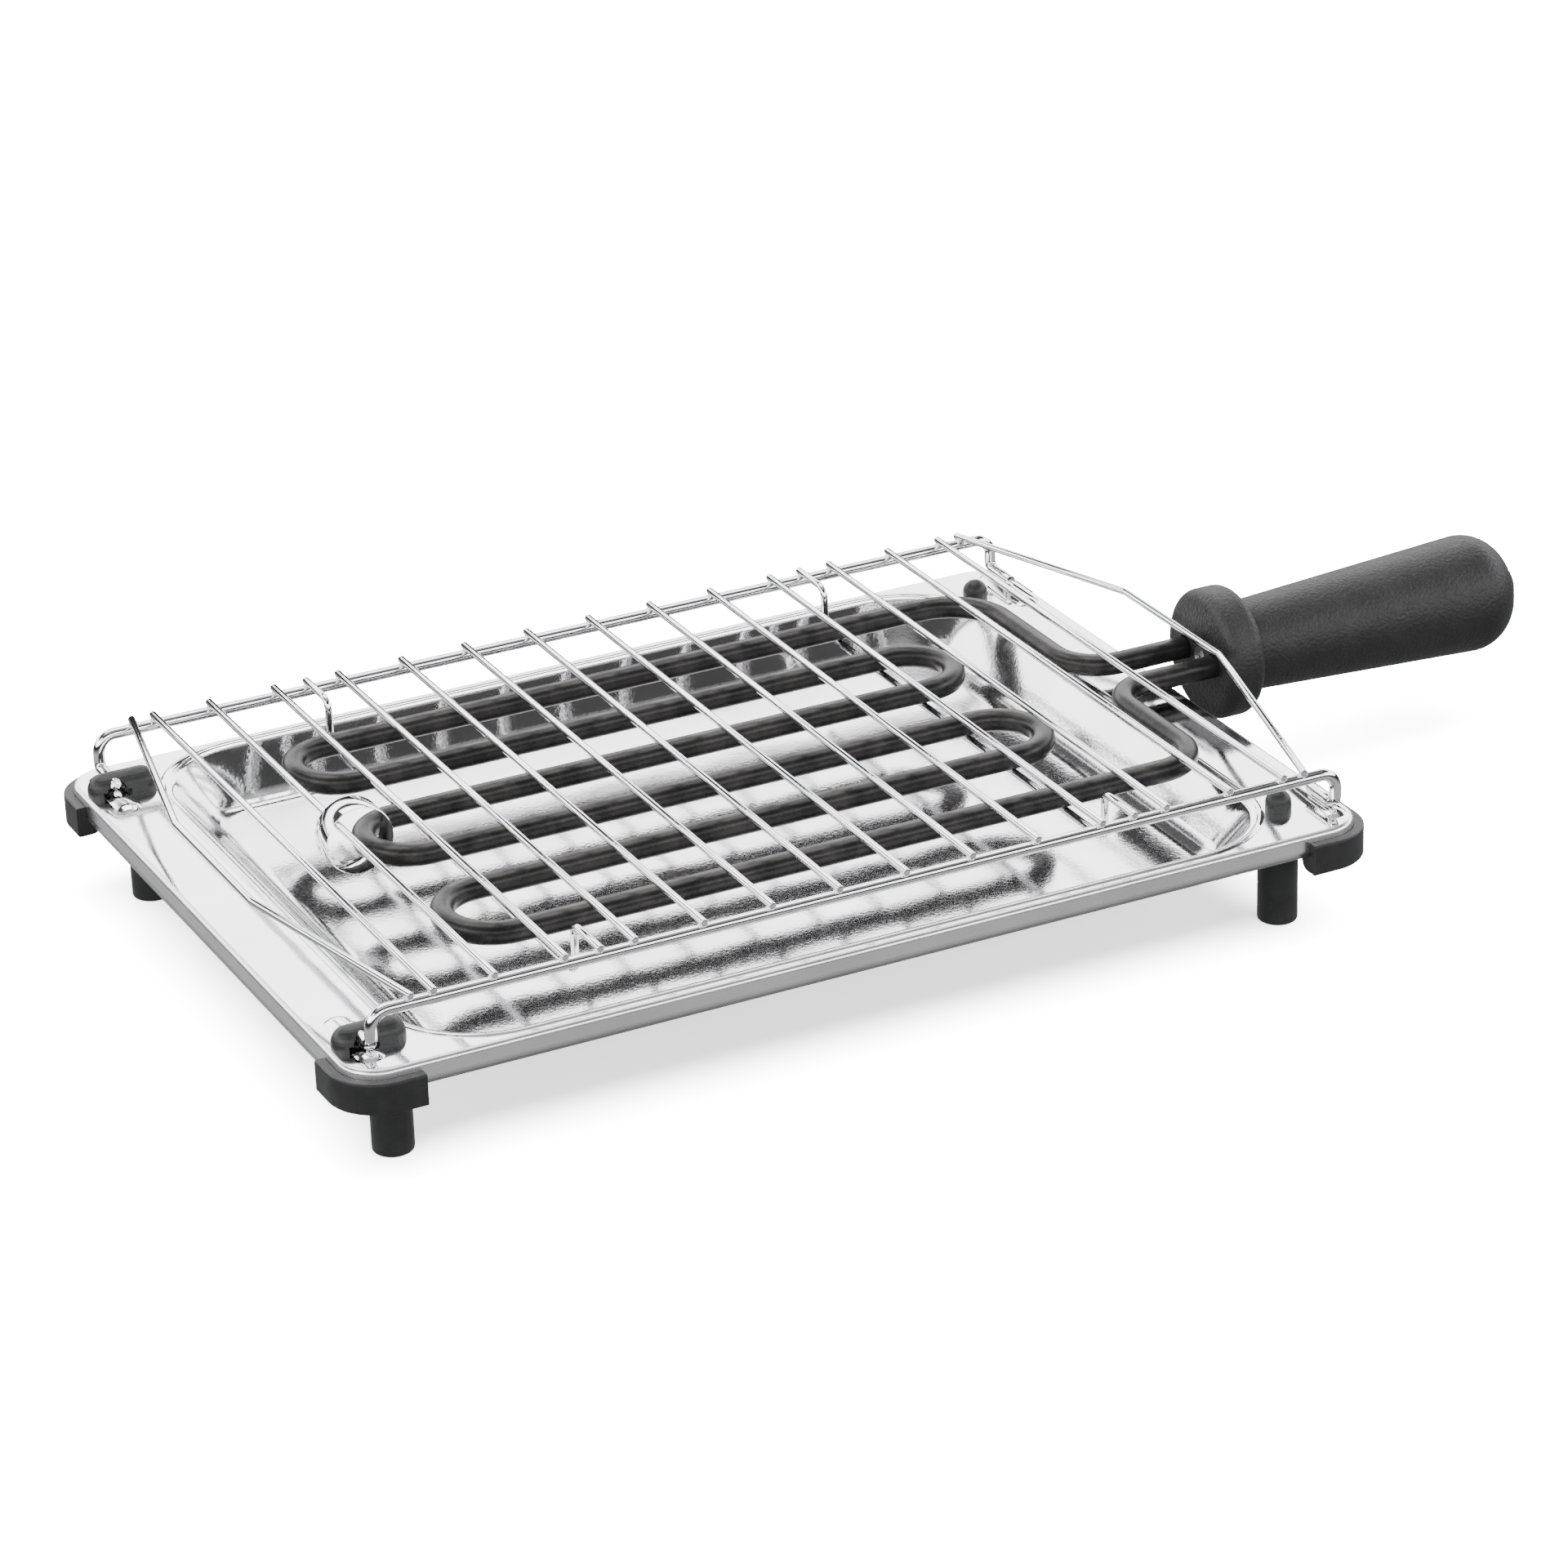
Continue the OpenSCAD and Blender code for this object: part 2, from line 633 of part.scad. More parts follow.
// turns that join run i to the next one
module turn_left(i) bend_flat([left_x(i), (run_y[i] + run_y[i + 1]) / 2, 0],
    (run_y[i] - run_y[i + 1]) / 2, 90, 180, tube_r);

module turn_right(i) bend_flat([right_turn_x, (run_y[i] + run_y[i + 1]) / 2, 0],
    (run_y[i] - run_y[i + 1]) / 2, -90, 180, tube_r);

module heating_element() {
    lead_x = lead_end - grid_x;
    placed() color("#262425") translate([grid_x, 0, tube_z]) {
        for (i = [0, 2, 4]) turn_left(i);
        for (i = [1, 3]) {
            turn_right(i);
            run(i, left_x(i - 1), right_turn_x);
            run(i + 1, left_x(i + 1), right_turn_x);
        }
        // back run, swept round to the back lead
        run(0, left_x(0), cross_x - sweep_r);
        bend_flat([cross_x - sweep_r, run_y[0] - sweep_r, 0], sweep_r, 0, 90, tube_r);
        bar([cross_x, lead_back_y + lead_r, 0], [cross_x, run_y[0] - sweep_r, 0], tube_r);
        bend_flat([cross_x + lead_r, lead_back_y + lead_r, 0], lead_r, 180, 90, tube_r);
        bar([cross_x + lead_r, lead_back_y, 0], [lead_x, lead_back_y, 0], tube_r);
        // front run, turned back and out along the front lead
        run(5, left_x(4), cross_x - lead_r);
        bend_flat([cross_x - lead_r, run_y[5] + lead_r, 0], lead_r, 270, 90, tube_r);
        bar([cross_x, run_y[5] + lead_r, 0], [cross_x, lead_front_y - lead_r, 0], tube_r);
        bend_flat([cross_x + lead_r, lead_front_y - lead_r, 0], lead_r, 90, 90, tube_r);
        bar([cross_x + lead_r, lead_front_y, 0], [lead_x, lead_front_y, 0], tube_r);
    }
}

module element_seals() {
    placed() color("ivory") for (y = [lead_front_y, lead_back_y])
        translate([lead_end, y, tube_z]) rotate([0, 90, 0]) difference() {
            cylinder(r = seal_r, h = seal_l);
            translate([0, 0, -eps]) cylinder(r = pin_r, h = seal_l + 2 * eps);
        }
}

module terminal_pins() {
    placed() color("silver") for (y = [lead_front_y, lead_back_y])
        translate([lead_end, y, tube_z]) rotate([0, 90, 0]) cylinder(r = pin_r, h = pin_l);
}

// ---- handle ----

module handle_collar() {
    lead_hole_r = tube_r + 0.1;
    placed() color("#1b1b1c") difference() {
        turned() polygon(concat([[0, collar_x], [collar_r - collar_edge, collar_x]],
            arc(collar_r - collar_edge, collar_x + collar_edge, collar_edge, -90, 0),
            arc(collar_r - collar_edge, collar_back - collar_edge, collar_edge, 0, 90),
            [[spigot_r, collar_back], [spigot_r, collar_back + spigot_l], [0, collar_back + spigot_l]]));
        for (y = [lead_front_y, lead_back_y])
            translate([collar_x - eps, y, handle_z]) rotate([0, 90, 0])
                cylinder(r = lead_hole_r, h = collar_t + spigot_l + 2 * eps);
        translate([collar_x - eps, handle_y, handle_z]) rotate([0, 90, 0]) {
            cylinder(r = bolt_r + hole_clear, h = collar_t + spigot_l + 2 * eps);
            cylinder(r = bolt_head_r + hole_clear, h = bolt_head_h + eps);
        }
    }
}

module handle_grip() {
    placed() color("#1e1e1f") difference() {
        turned() polygon(concat(
            [[grip_bore_r, collar_back], [neck_r - neck_edge, collar_back]],
            arc(neck_r - neck_edge, collar_back + neck_edge, neck_edge, -90, 0, 3),
            arc(butt_r - butt_edge, grip_end - butt_edge, butt_edge, 0, 90, 12),
            [[0, grip_end], [0, wall_x], [grip_bore_r, wall_x]]));
        translate([wall_x - eps, handle_y, handle_z]) rotate([0, 90, 0])
            cylinder(r = gland_r, h = end_wall + 2 * eps);
        for (s = sides)
            translate([wall_x - eps, handle_y + s * clamp_screw_y, handle_z]) rotate([0, 90, 0])
                cylinder(r = clamp_screw_r, h = clamp_screw_l);
    }
}

module handle_bolt() {
    placed() color("silver") translate([collar_x, handle_y, handle_z]) rotate([0, 90, 0]) difference() {
        union() {
            cylinder(r = bolt_head_r, h = bolt_head_h);
            cylinder(r = bolt_r, h = bolt_end - collar_x);
        }
        for (a = [0, 90])
            rotate(a) translate([-bolt_head_r * 0.7, -head_slot_w / 2, -eps])
                cube([bolt_head_r * 1.4, head_slot_w, head_slot_d]);
    }
}

module lead_bridge() {
    placed() color("silver") translate([bridge_x, 0, handle_z]) rotate([0, 90, 0]) difference() {
        translate([0, handle_y, 0]) cylinder(r = bridge_r, h = bridge_t);
        for (y = [lead_front_y, lead_back_y])
            translate([0, y, -eps]) cylinder(r = tube_r, h = bridge_t + 2 * eps);
        translate([0, handle_y, -eps]) cylinder(r = bolt_r, h = bridge_t + 2 * eps);
    }
}

module earth_tag() {
    placed() color("gold") translate([bridge_x + bridge_t, handle_y, handle_z]) rotate([0, 90, 0])
        difference() {
            union() {
                cylinder(r = tag_w / 2, h = tag_t);
                translate([-tag_l, -tag_w / 4, 0]) cube([tag_l, tag_w / 2, tag_t]);
            }
            translate([0, 0, -eps]) cylinder(r = bolt_r, h = tag_t + 2 * eps);
        }
}

module bolt_nut() {
    placed() color("silver") translate([bridge_x + bridge_t + tag_t, handle_y, handle_z])
        rotate([0, 90, 0]) difference() {
            cylinder(r = nut_af / sqrt(3), h = nut_t, $fn = 6);
            translate([0, 0, -eps]) cylinder(r = bolt_r, h = nut_t + 2 * eps);
        }
}

module terminal_block() {
    placed() color("ivory") translate([block_x, 0, handle_z]) difference() {
        translate([0, handle_y - block_w / 2, -block_t / 2]) cube([block_l, block_w, block_t]);
        for (y = [lead_front_y, lead_back_y]) {
            translate([-eps, y, 0]) rotate([0, 90, 0]) cylinder(r = pin_r + term_clear, h = block_l + 1);
            for (x = [pin_depth / 2, block_l - pin_depth / 2])
                translate([x, y, 0]) cylinder(r = term_screw_r, h = block_t);
        }
    }
}

module terminal_screws() {
    placed() color("silver") for (y = [lead_front_y, lead_back_y])
        for (x = [pin_depth / 2, block_l - pin_depth / 2])
            translate([block_x + x, y, handle_z + pin_r])
                cylinder(r = term_screw_r, h = block_t / 2 - pin_r + 0.6);
}

module cord_clamp() {
    placed() color("silver") translate([wall_x - clamp_t, handle_y, handle_z]) difference() {
        translate([0, -clamp_l / 2, -clamp_w / 2]) cube([clamp_t, clamp_l, clamp_w]);
        translate([-eps, 0, 0]) rotate([0, 90, 0]) cylinder(r = cord_r, h = clamp_t + 2 * eps);
        for (s = sides)
            translate([-eps, s * clamp_screw_y, 0]) rotate([0, 90, 0])
                cylinder(r = clamp_screw_r + hole_clear, h = clamp_t + 2 * eps);
    }
}

module clamp_screws() {
    placed() color("silver") for (s = sides)
        translate([wall_x - clamp_t, handle_y + s * clamp_screw_y, handle_z]) rotate([0, 90, 0]) {
            translate([0, 0, -clamp_head_h]) cylinder(r = clamp_head_r, h = clamp_head_h);
            cylinder(r = clamp_screw_r, h = clamp_screw_l);
        }
}

module cord_gland() {
    placed() color("#141414") translate([wall_x, handle_y, handle_z]) rotate([0, 90, 0]) difference() {
        union() {
            cylinder(r = gland_r, h = end_wall);
            translate([0, 0, end_wall]) cylinder(r = gland_lip_r, h = gland_lip_t);
        }
        translate([0, 0, -eps]) cylinder(r = cord_r, h = end_wall + gland_lip_t + 2 * eps);
    }
}

drip_tray();
foot_screws();
screw_washers();
hinge_block(-1);  // hinge_block_front
hinge_block(1);  // hinge_block_rear
domed_nut(-1);  // domed_nut_front
domed_nut(1);  // domed_nut_rear
for (i = [0 : 3]) {
    foot(i);
    corner_guard(i);
}
rail(-1);  // front_rail
rail(1);  // rear_rail
for (i = [1 : wire_count])
    cross_wire(i);
end_wire(-1);  // end_wire_left
end_wire(1);  // end_wire_right
cradle_wire(-1);  // cradle_wire_left
cradle_wire(1);  // cradle_wire_right
ring_clip();
heating_element();
element_seals();
terminal_pins();
handle_collar();
handle_grip();
handle_bolt();
lead_bridge();
earth_tag();
bolt_nut();
terminal_block();
terminal_screws();
cord_clamp();
clamp_screws();
cord_gland();
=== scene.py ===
import bpy
import math
from mathutils import Matrix, Vector


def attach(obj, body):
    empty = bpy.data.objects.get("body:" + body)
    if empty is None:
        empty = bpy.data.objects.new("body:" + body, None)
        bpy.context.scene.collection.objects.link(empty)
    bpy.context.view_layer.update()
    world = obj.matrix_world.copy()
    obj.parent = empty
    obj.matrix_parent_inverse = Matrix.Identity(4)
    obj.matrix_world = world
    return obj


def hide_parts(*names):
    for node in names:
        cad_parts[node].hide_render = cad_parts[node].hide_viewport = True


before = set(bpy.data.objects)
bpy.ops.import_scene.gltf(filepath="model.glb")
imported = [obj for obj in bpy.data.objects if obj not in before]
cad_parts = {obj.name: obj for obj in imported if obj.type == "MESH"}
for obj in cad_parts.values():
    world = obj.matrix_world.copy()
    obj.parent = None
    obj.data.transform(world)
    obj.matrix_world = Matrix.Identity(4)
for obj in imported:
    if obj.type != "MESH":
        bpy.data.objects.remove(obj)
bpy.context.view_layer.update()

# ---------------------------------------------------------------- studio
# A plain pale table top in a soft white room, with softboxes behind, left and right of the grill.
# One more lamp, wide and bright, lights the table alone. The steel mirrors the room, but not the
# table or that lamp.
tray_x = -0.07975
look_at = Vector((tray_x + 0.03965, 0.0094, 0.040))
cam_distance, cam_lens = 2.1871, 126.14
turn, rise, tilt = math.radians(-26.15), math.radians(24.836), math.radians(-1.831)
away = Vector((math.sin(turn) * math.cos(rise), -math.cos(turn) * math.cos(rise), math.sin(rise)))
level = Vector((math.cos(turn), math.sin(turn), 0))
upright = away.cross(level)
cam_right = math.cos(tilt) * level + math.sin(tilt) * upright
cam_up = math.cos(tilt) * upright - math.sin(tilt) * level
cam_data = bpy.data.cameras.new("camera")
cam_data.sensor_width = 36
cam_data.lens = cam_lens
cam_data.clip_end = 60
camera = bpy.data.objects.new("camera", cam_data)
bpy.context.scene.collection.objects.link(camera)
place = Matrix((cam_right, cam_up, away)).transposed().to_4x4()
place.translation = look_at + cam_distance * away
camera.matrix_world = place
bpy.context.scene.camera = camera


def new_material(name, color, metal, rough):
    """A node material and its shader, with one colour and gloss to start from."""
    mat = bpy.data.materials.new(name)
    mat.use_nodes = True
    shader = mat.node_tree.nodes["Principled BSDF"]
    shader.inputs["Base Color"].default_value = (*color, 1)
    shader.inputs["Metallic"].default_value = metal
    shader.inputs["Roughness"].default_value = rough
    return mat, shader


table_white, shader = new_material("white_table", (0.93, 0.93, 0.935), 0, 0.22)
shader.inputs["Specular IOR Level"].default_value = 0.25
shader.inputs["Emission Color"].default_value = (1, 1, 1, 1)
shader.inputs["Emission Strength"].default_value = 1.3
half = 9.0
mesh = bpy.data.meshes.new("table_top")
mesh.from_pydata([(-half, -half, 0), (half, -half, 0), (half, half, 0), (-half, half, 0)], [], [(0, 1, 2, 3)])
mesh.materials.append(table_white)
table_top = bpy.data.objects.new("table_top", mesh)
bpy.context.scene.collection.objects.link(table_top)
table_top.visible_glossy = False
table_top.visible_diffuse = False

# The room's brightness by height, from straight down (-1) to straight up (1). The white band in
# the middle is what the steel mirrors, and the dark ones beside it give the steel its contrast.
room_bands = ((-0.35, 0.12), (-0.12, 0.02), (0.0, 0.003), (0.12, 0.015), (0.20, 0.95), (0.50, 1.0),
              (0.57, 0.02), (0.80, 0.015), (0.92, 0.12))
world = bpy.data.worlds.new("white_room")
bpy.context.scene.world = world
world.use_nodes = True
nodes, links = world.node_tree.nodes, world.node_tree.links
coord = nodes.new("ShaderNodeTexCoord")
split = nodes.new("ShaderNodeSeparateXYZ")
whole = nodes.new("ShaderNodeMapRange")
whole.inputs["From Min"].default_value = -1
ramp = nodes.new("ShaderNodeValToRGB")
ramp.color_ramp.elements[0].position = 0.0
ramp.color_ramp.elements[0].color = (0.06, 0.06, 0.06, 1)
ramp.color_ramp.elements[1].position = 1.0
ramp.color_ramp.elements[1].color = (0.15, 0.15, 0.15, 1)
for height, value in room_bands:
    stop = ramp.color_ramp.elements.new((height + 1) / 2)
    stop.color = (value, value, value * 1.01, 1)
links.new(coord.outputs["Generated"], split.inputs[0])
links.new(split.outputs["Z"], whole.inputs["Value"])
links.new(whole.outputs["Result"], ramp.inputs[0])
links.new(ramp.outputs[0], nodes["Background"].inputs["Color"])
nodes["Background"].inputs["Strength"].default_value = 5.2

table_only = bpy.data.collections.new("table_only")
table_only.objects.link(table_top)
for name, spot, size, power in (
    ("softbox_top", (0.1, 0.75, 1.7), (1.9, 1.1), 36),
    ("softbox_left", (-1.9, -0.5, 1.1), (0.8, 1.2), 12),
    ("softbox_right", (1.8, -1.2, 1.2), (0.7, 1.0), 7),
    ("table_wash", (0.0, -0.3, 2.1), (4.0, 3.0), 2800),
):
    lamp = bpy.data.lights.new(name, "AREA")
    lamp.shape = "RECTANGLE"
    lamp.size, lamp.size_y = size
    lamp.energy = power
    holder = bpy.data.objects.new(name, lamp)
    holder.location = spot
    holder.rotation_euler = (look_at - Vector(spot)).to_track_quat("-Z", "Y").to_euler()
    if name == "table_wash":
        holder.light_linking.receiver_collection = table_only
        holder.visible_glossy = False
    bpy.context.scene.collection.objects.link(holder)

# ---------------------------------------------------------------- drip tray
# One sheet of stainless steel, 0.8 mm thick, drawn into a shallow pan with a rolled bead
# round its mouth and a turned-down skirt. The top is polished; the drawn pan has a fine grain.
# From here on, sizes are in millimetres and measured from the tray's middle.
MM = 0.001
tray_half, tray_top, corner_out = (213, 150), 47.5, 16
mouth_half, mouth_corner = (183, 144), 40
sheet, edge_r = 0.8, 2
bead_w, bead_h, bead_gap = 2.8, 0.8, 0.5
wall_angle, lip_r, floor_r, pan_depth = 50, 4, 13, 20


def add_bump(mat, shader, scale, strength, distance, detail, stretch=None, rough=None):
    """Fine grain pressed into a finish, which can also vary how rough it is."""
    nodes, links = mat.node_tree.nodes, mat.node_tree.links
    coord = nodes.new("ShaderNodeTexCoord")
    grain = nodes.new("ShaderNodeTexNoise")
    grain.inputs["Scale"].default_value = scale
    grain.inputs["Detail"].default_value = detail
    source = coord.outputs["Object"]
    if stretch:
        mapping = nodes.new("ShaderNodeMapping")
        mapping.inputs["Scale"].default_value = stretch
        links.new(source, mapping.inputs["Vector"])
        source = mapping.outputs["Vector"]
    links.new(source, grain.inputs["Vector"])
    bump = nodes.new("ShaderNodeBump")
    bump.inputs["Strength"].default_value = strength
    bump.inputs["Distance"].default_value = distance
    links.new(grain.outputs["Fac"], bump.inputs["Height"])
    coarser = shader.inputs["Normal"].links
    if coarser:
        links.new(coarser[0].from_socket, bump.inputs["Normal"])
    links.new(bump.outputs["Normal"], shader.inputs["Normal"])
    if rough:
        spread = nodes.new("ShaderNodeMapRange")
        spread.inputs["To Min"].default_value = rough[0]
        spread.inputs["To Max"].default_value = rough[1]
        links.new(grain.outputs["Fac"], spread.inputs["Value"])
        links.new(spread.outputs["Result"], shader.inputs["Roughness"])


def add_tint(mat, shader, scale, dark, light):
    """Uneven colour over a surface, between two shades."""
    nodes, links = mat.node_tree.nodes, mat.node_tree.links
    coord = nodes.new("ShaderNodeTexCoord")
    cloud = nodes.new("ShaderNodeTexNoise")
    cloud.inputs["Scale"].default_value = scale
    cloud.inputs["Detail"].default_value = 4.0
    ramp = nodes.new("ShaderNodeValToRGB")
    ramp.color_ramp.elements[0].position = 0.35
    ramp.color_ramp.elements[0].color = (*dark, 1)
    ramp.color_ramp.elements[1].position = 0.65
    ramp.color_ramp.elements[1].color = (*light, 1)
    links.new(coord.outputs["Object"], cloud.inputs["Vector"])
    links.new(cloud.outputs["Fac"], ramp.inputs[0])
    links.new(ramp.outputs[0], shader.inputs["Base Color"])


polished, shader = new_material("polished_steel", (0.80, 0.80, 0.81), 1, 0.08)
add_tint(polished, shader, 14, (0.76, 0.76, 0.77), (0.84, 0.84, 0.85))
add_bump(polished, shader, 34, 0.25, 0.0006, 1.0)
add_bump(polished, shader, 1500, 0.05, 0.0002, 2.0, rough=(0.03, 0.09))
drawn, shader = new_material("drawn_steel", (0.78, 0.78, 0.79), 1, 0.2)
add_tint(drawn, shader, 22, (0.72, 0.72, 0.73), (0.83, 0.83, 0.84))
add_bump(drawn, shader, 24, 0.35, 0.0012, 1.0)
add_bump(drawn, shader, 700, 0.16, 0.0002, 2.5, rough=(0.06, 0.13))
skirt_steel, shader = new_material("skirt_steel", (0.78, 0.78, 0.79), 1, 0.26)
add_tint(skirt_steel, shader, 30, (0.74, 0.74, 0.75), (0.82, 0.82, 0.83))
add_bump(skirt_steel, shader, 900, 0.06, 0.0001, 2.0, stretch=(0.1, 0.1, 1), rough=(0.22, 0.32))


def link_piece(name, verts, faces, mats, body, replaced=(), face_mats=None):
    """Makes a mesh piece that rides on a body, and can stand for CAD nodes."""
    mesh = bpy.data.meshes.new(name)
    mesh.from_pydata([((x * MM) + tray_x, y * MM, z * MM) for x, y, z in verts], [], faces)
    for mat in mats:
        mesh.materials.append(mat)
    if face_mats is not None:
        mesh.polygons.foreach_set("material_index", face_mats)
    mesh.polygons.foreach_set("use_smooth", [True] * len(mesh.polygons))
    mesh.validate()
    mesh.update()
    piece = bpy.data.objects.new(name, mesh)
    bpy.context.scene.collection.objects.link(piece)
    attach(piece, body)
    if replaced:
        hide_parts(*replaced)
    return piece


def keep_edges(piece, degrees):
    """Smooth shading that stays crisp at edges sharper than an angle."""
    piece.data.set_sharp_from_angle(angle=math.radians(degrees))


def arc_points(cx, cy, r, start, stop, steps):
    """Points on an arc, angles in degrees."""
    return [(cx + r * math.cos(math.radians(start + (stop - start) * i / steps)),
             cy + r * math.sin(math.radians(start + (stop - start) * i / steps))) for i in range(steps + 1)]


def ring_points(half_l, half_w, r, z, along=26, across=20, bend=14):
    """One closed loop of points round a rectangle with round corners, at height z."""
    r = max(r, 0.01)
    cx, cy = half_l - r, half_w - r
    loop = []
    for k, (sx, sy, n) in enumerate(((1, 1, along), (-1, 1, across), (-1, -1, along), (1, -1, across))):
        start = 90 * k
        corner = arc_points(sx * cx, sy * cy, r, start, start + 90, bend)
        loop += corner
        nx, ny = ((-1, 1), (-1, -1), (1, -1), (1, 1))[k]
        a, b = corner[-1], arc_points(nx * cx, ny * cy, r, start + 90, start + 90, 1)[0]
        loop += [(a[0] + (b[0] - a[0]) * i / n, a[1] + (b[1] - a[1]) * i / n) for i in range(1, n)]
    return [(x, y, z) for x, y in loop]


def loop_faces(rows, cols, base=0, flip=False):
    """The faces between each closed loop of points and the next; flip turns them over."""
    quads = []
    for r in range(rows):
        here, beyond = base + r * cols, base + (r + 1) * cols
        for c in range(cols):
            d = (c + 1) % cols
            quads.append((here + c, beyond + c, beyond + d, here + d) if flip
                         else (here + c, here + d, beyond + d, beyond + c))
    return quads


# The sheet's loops, from the skirt's lower edge over the rim and the flat top to the bead.
skirt_rows = [(0.0, tray_top - drop) for drop in (9, 6, 3)]
skirt_rows += [(d - corner_out, z) for d, z in
               arc_points(corner_out - edge_r, tray_top - edge_r, edge_r, 0, 90, 8)]
loops = [ring_points(tray_half[0] + d, tray_half[1] + d, corner_out + d, z) for d, z in skirt_rows]
kinds = ["skirt"] * len(loops)
rim_in = loops[-1]
bead_from = ring_points(mouth_half[0] + bead_w + bead_gap, mouth_half[1] + bead_w + bead_gap,
                        mouth_corner + bead_w + bead_gap, tray_top)
for t in (0.15, 0.4, 0.65, 0.88):
    loops.append([(a[0] + (b[0] - a[0]) * t, a[1] + (b[1] - a[1]) * t, tray_top)
                  for a, b in zip(rim_in, bead_from)])
    kinds.append("top")

# The bead, the lip, the sloping wall and the bend to the pan's floor, as distances from the mouth.
wall = math.radians(wall_angle)
straight = (pan_depth - (lip_r + floor_r) * (1 - math.cos(wall))) / math.sin(wall)
wall_run = (lip_r + floor_r) * math.sin(wall) + straight * math.cos(wall)
profile = [(bead_w + bead_gap, tray_top, "top")]
for i in range(11):
    u = -1 + 2 * i / 10
    profile.append((bead_w / 2 - u * bead_w / 2, tray_top + bead_h * (1 - u * u) ** 1.3 * 0.98, "top"))
for k in range(1, 7):
    a = math.radians(90 + k * wall_angle / 6)
    profile.append((lip_r * math.cos(a), tray_top - lip_r + lip_r * math.sin(a), "pan"))
foot_d, foot_z = -wall_run, tray_top - pan_depth + floor_r
last_d, last_z, _ = profile[-1]
bend = []
for k in range(9):
    a = math.radians(wall_angle - 90 - k * wall_angle / 8)
    bend.append((foot_d + floor_r * math.cos(a), foot_z + floor_r * math.sin(a)))
for k in range(1, 5):
    profile.append((last_d + (bend[0][0] - last_d) * k / 5, last_z + (bend[0][1] - last_z) * k / 5, "pan"))
profile += [(d, z, "pan") for d, z in bend]
for d, z, kind in profile:
    loops.append(ring_points(mouth_half[0] + d, mouth_half[1] + d, mouth_corner + d, z))
    kinds.append(kind)
floor_loop = loops[-1]
for t in (0.06, 0.14, 0.26, 0.4, 0.55, 0.7, 0.85, 0.97):
    loops.append([(x * (1 - t), y * (1 - t), z) for x, y, z in floor_loop])
    kinds.append("pan")

mat_at = {"top": 0, "pan": 1, "skirt": 2}
rows, count = len(loops) - 1, len(floor_loop)
verts = [spot for loop in loops for spot in loop] + [(0, 0, floor_loop[0][2])]
faces = loop_faces(rows, count)
faces += [(rows * count + i, rows * count + (i + 1) % count, len(verts) - 1) for i in range(count)]
face_mats = [mat_at[kind] for kind in kinds[1:] for i in range(count)] + [mat_at["pan"]] * count
tray = link_piece("tray_sheet", verts, faces, [polished, drawn, skirt_steel], "base",
                  ["drip_tray"], face_mats)
thick = tray.modifiers.new("sheet thickness", "SOLIDIFY")
thick.thickness = sheet * MM
thick.offset = -1
thick.use_even_offset = True

# Four locating ridges, pressed up in the same sheet where the grid's toes come down. Their
# section is a flat arc, and they lie a hair above the sheet.
ridge_h, ridge_w, ridge_l, ridge_lift = 1.95, 10.8, 40, 0.03
ridge_x, ridge_y = (-200.5, 204.5), (-121.8, 121.8)
crown = (ridge_w ** 2 / 4 + ridge_h ** 2) / (2 * ridge_h)
rows, cols = 24, 40
verts, faces = [], []
for x in ridge_x:
    for y in ridge_y:
        faces += loop_faces(rows, cols, len(verts), flip=True)
        for r in range(rows + 1):
            s = r / rows
            for c in range(cols):
                a = 2 * math.pi * c / cols
                px, py = math.cos(a) * ridge_w / 2 * s, math.sin(a) * ridge_w / 2 * s
                py += math.copysign((ridge_l - ridge_w) / 2, math.sin(a)) if abs(math.sin(a)) > 1e-6 else 0
                h = math.sqrt(crown ** 2 - (ridge_w / 2 * s) ** 2) - crown + ridge_h
                verts.append((x + px, y + py, tray_top + ridge_lift + h))
link_piece("tray_ridges", verts, faces, [polished], "base")

# ---------------------------------------------------------------- feet, guards, blocks and nuts
# Black heat-proof mouldings with a fine eroded grain. Zinc-plated screws come up through the
# four feet and the tray into two hinge blocks at the left and two domed nuts at the right. The
# four corner guards are pushed on the skirt.
moulded, shader = new_material("black_moulding", (0.012, 0.012, 0.0125), 0, 0.5)
shader.inputs["Specular IOR Level"].default_value = 0.36
add_tint(moulded, shader, 120, (0.009, 0.009, 0.0093), (0.015, 0.015, 0.0155))
add_bump(moulded, shader, 2200, 0.35, 0.00012, 2.0, rough=(0.36, 0.52))
add_bump(moulded, shader, 60, 0.08, 0.0004, 1.0)
zinc, shader = new_material("zinc_plate", (0.60, 0.61, 0.63), 1, 0.3)
add_tint(zinc, shader, 300, (0.52, 0.53, 0.55), (0.66, 0.67, 0.68))
add_bump(zinc, shader, 900, 0.2, 0.0002, 2.0, rough=(0.22, 0.4))


def finish_nodes(mat, *names):
    """Gives CAD parts their finish, smooth where they're round and crisp at their edges."""
    for name in names:
        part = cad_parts[name]
        part.data.materials.clear()
        part.data.materials.append(mat)
        part.data.polygons.foreach_set("use_smooth", [True] * len(part.data.polygons))
        keep_edges(part, 28)


for corner in ("front_left", "front_right", "rear_left", "rear_right"):
    finish_nodes(moulded, "foot_" + corner, "corner_guard_" + corner)
finish_nodes(moulded, "hinge_block_front", "hinge_block_rear", "domed_nut_front", "domed_nut_rear")
finish_nodes(zinc, "foot_screws", "screw_washers")

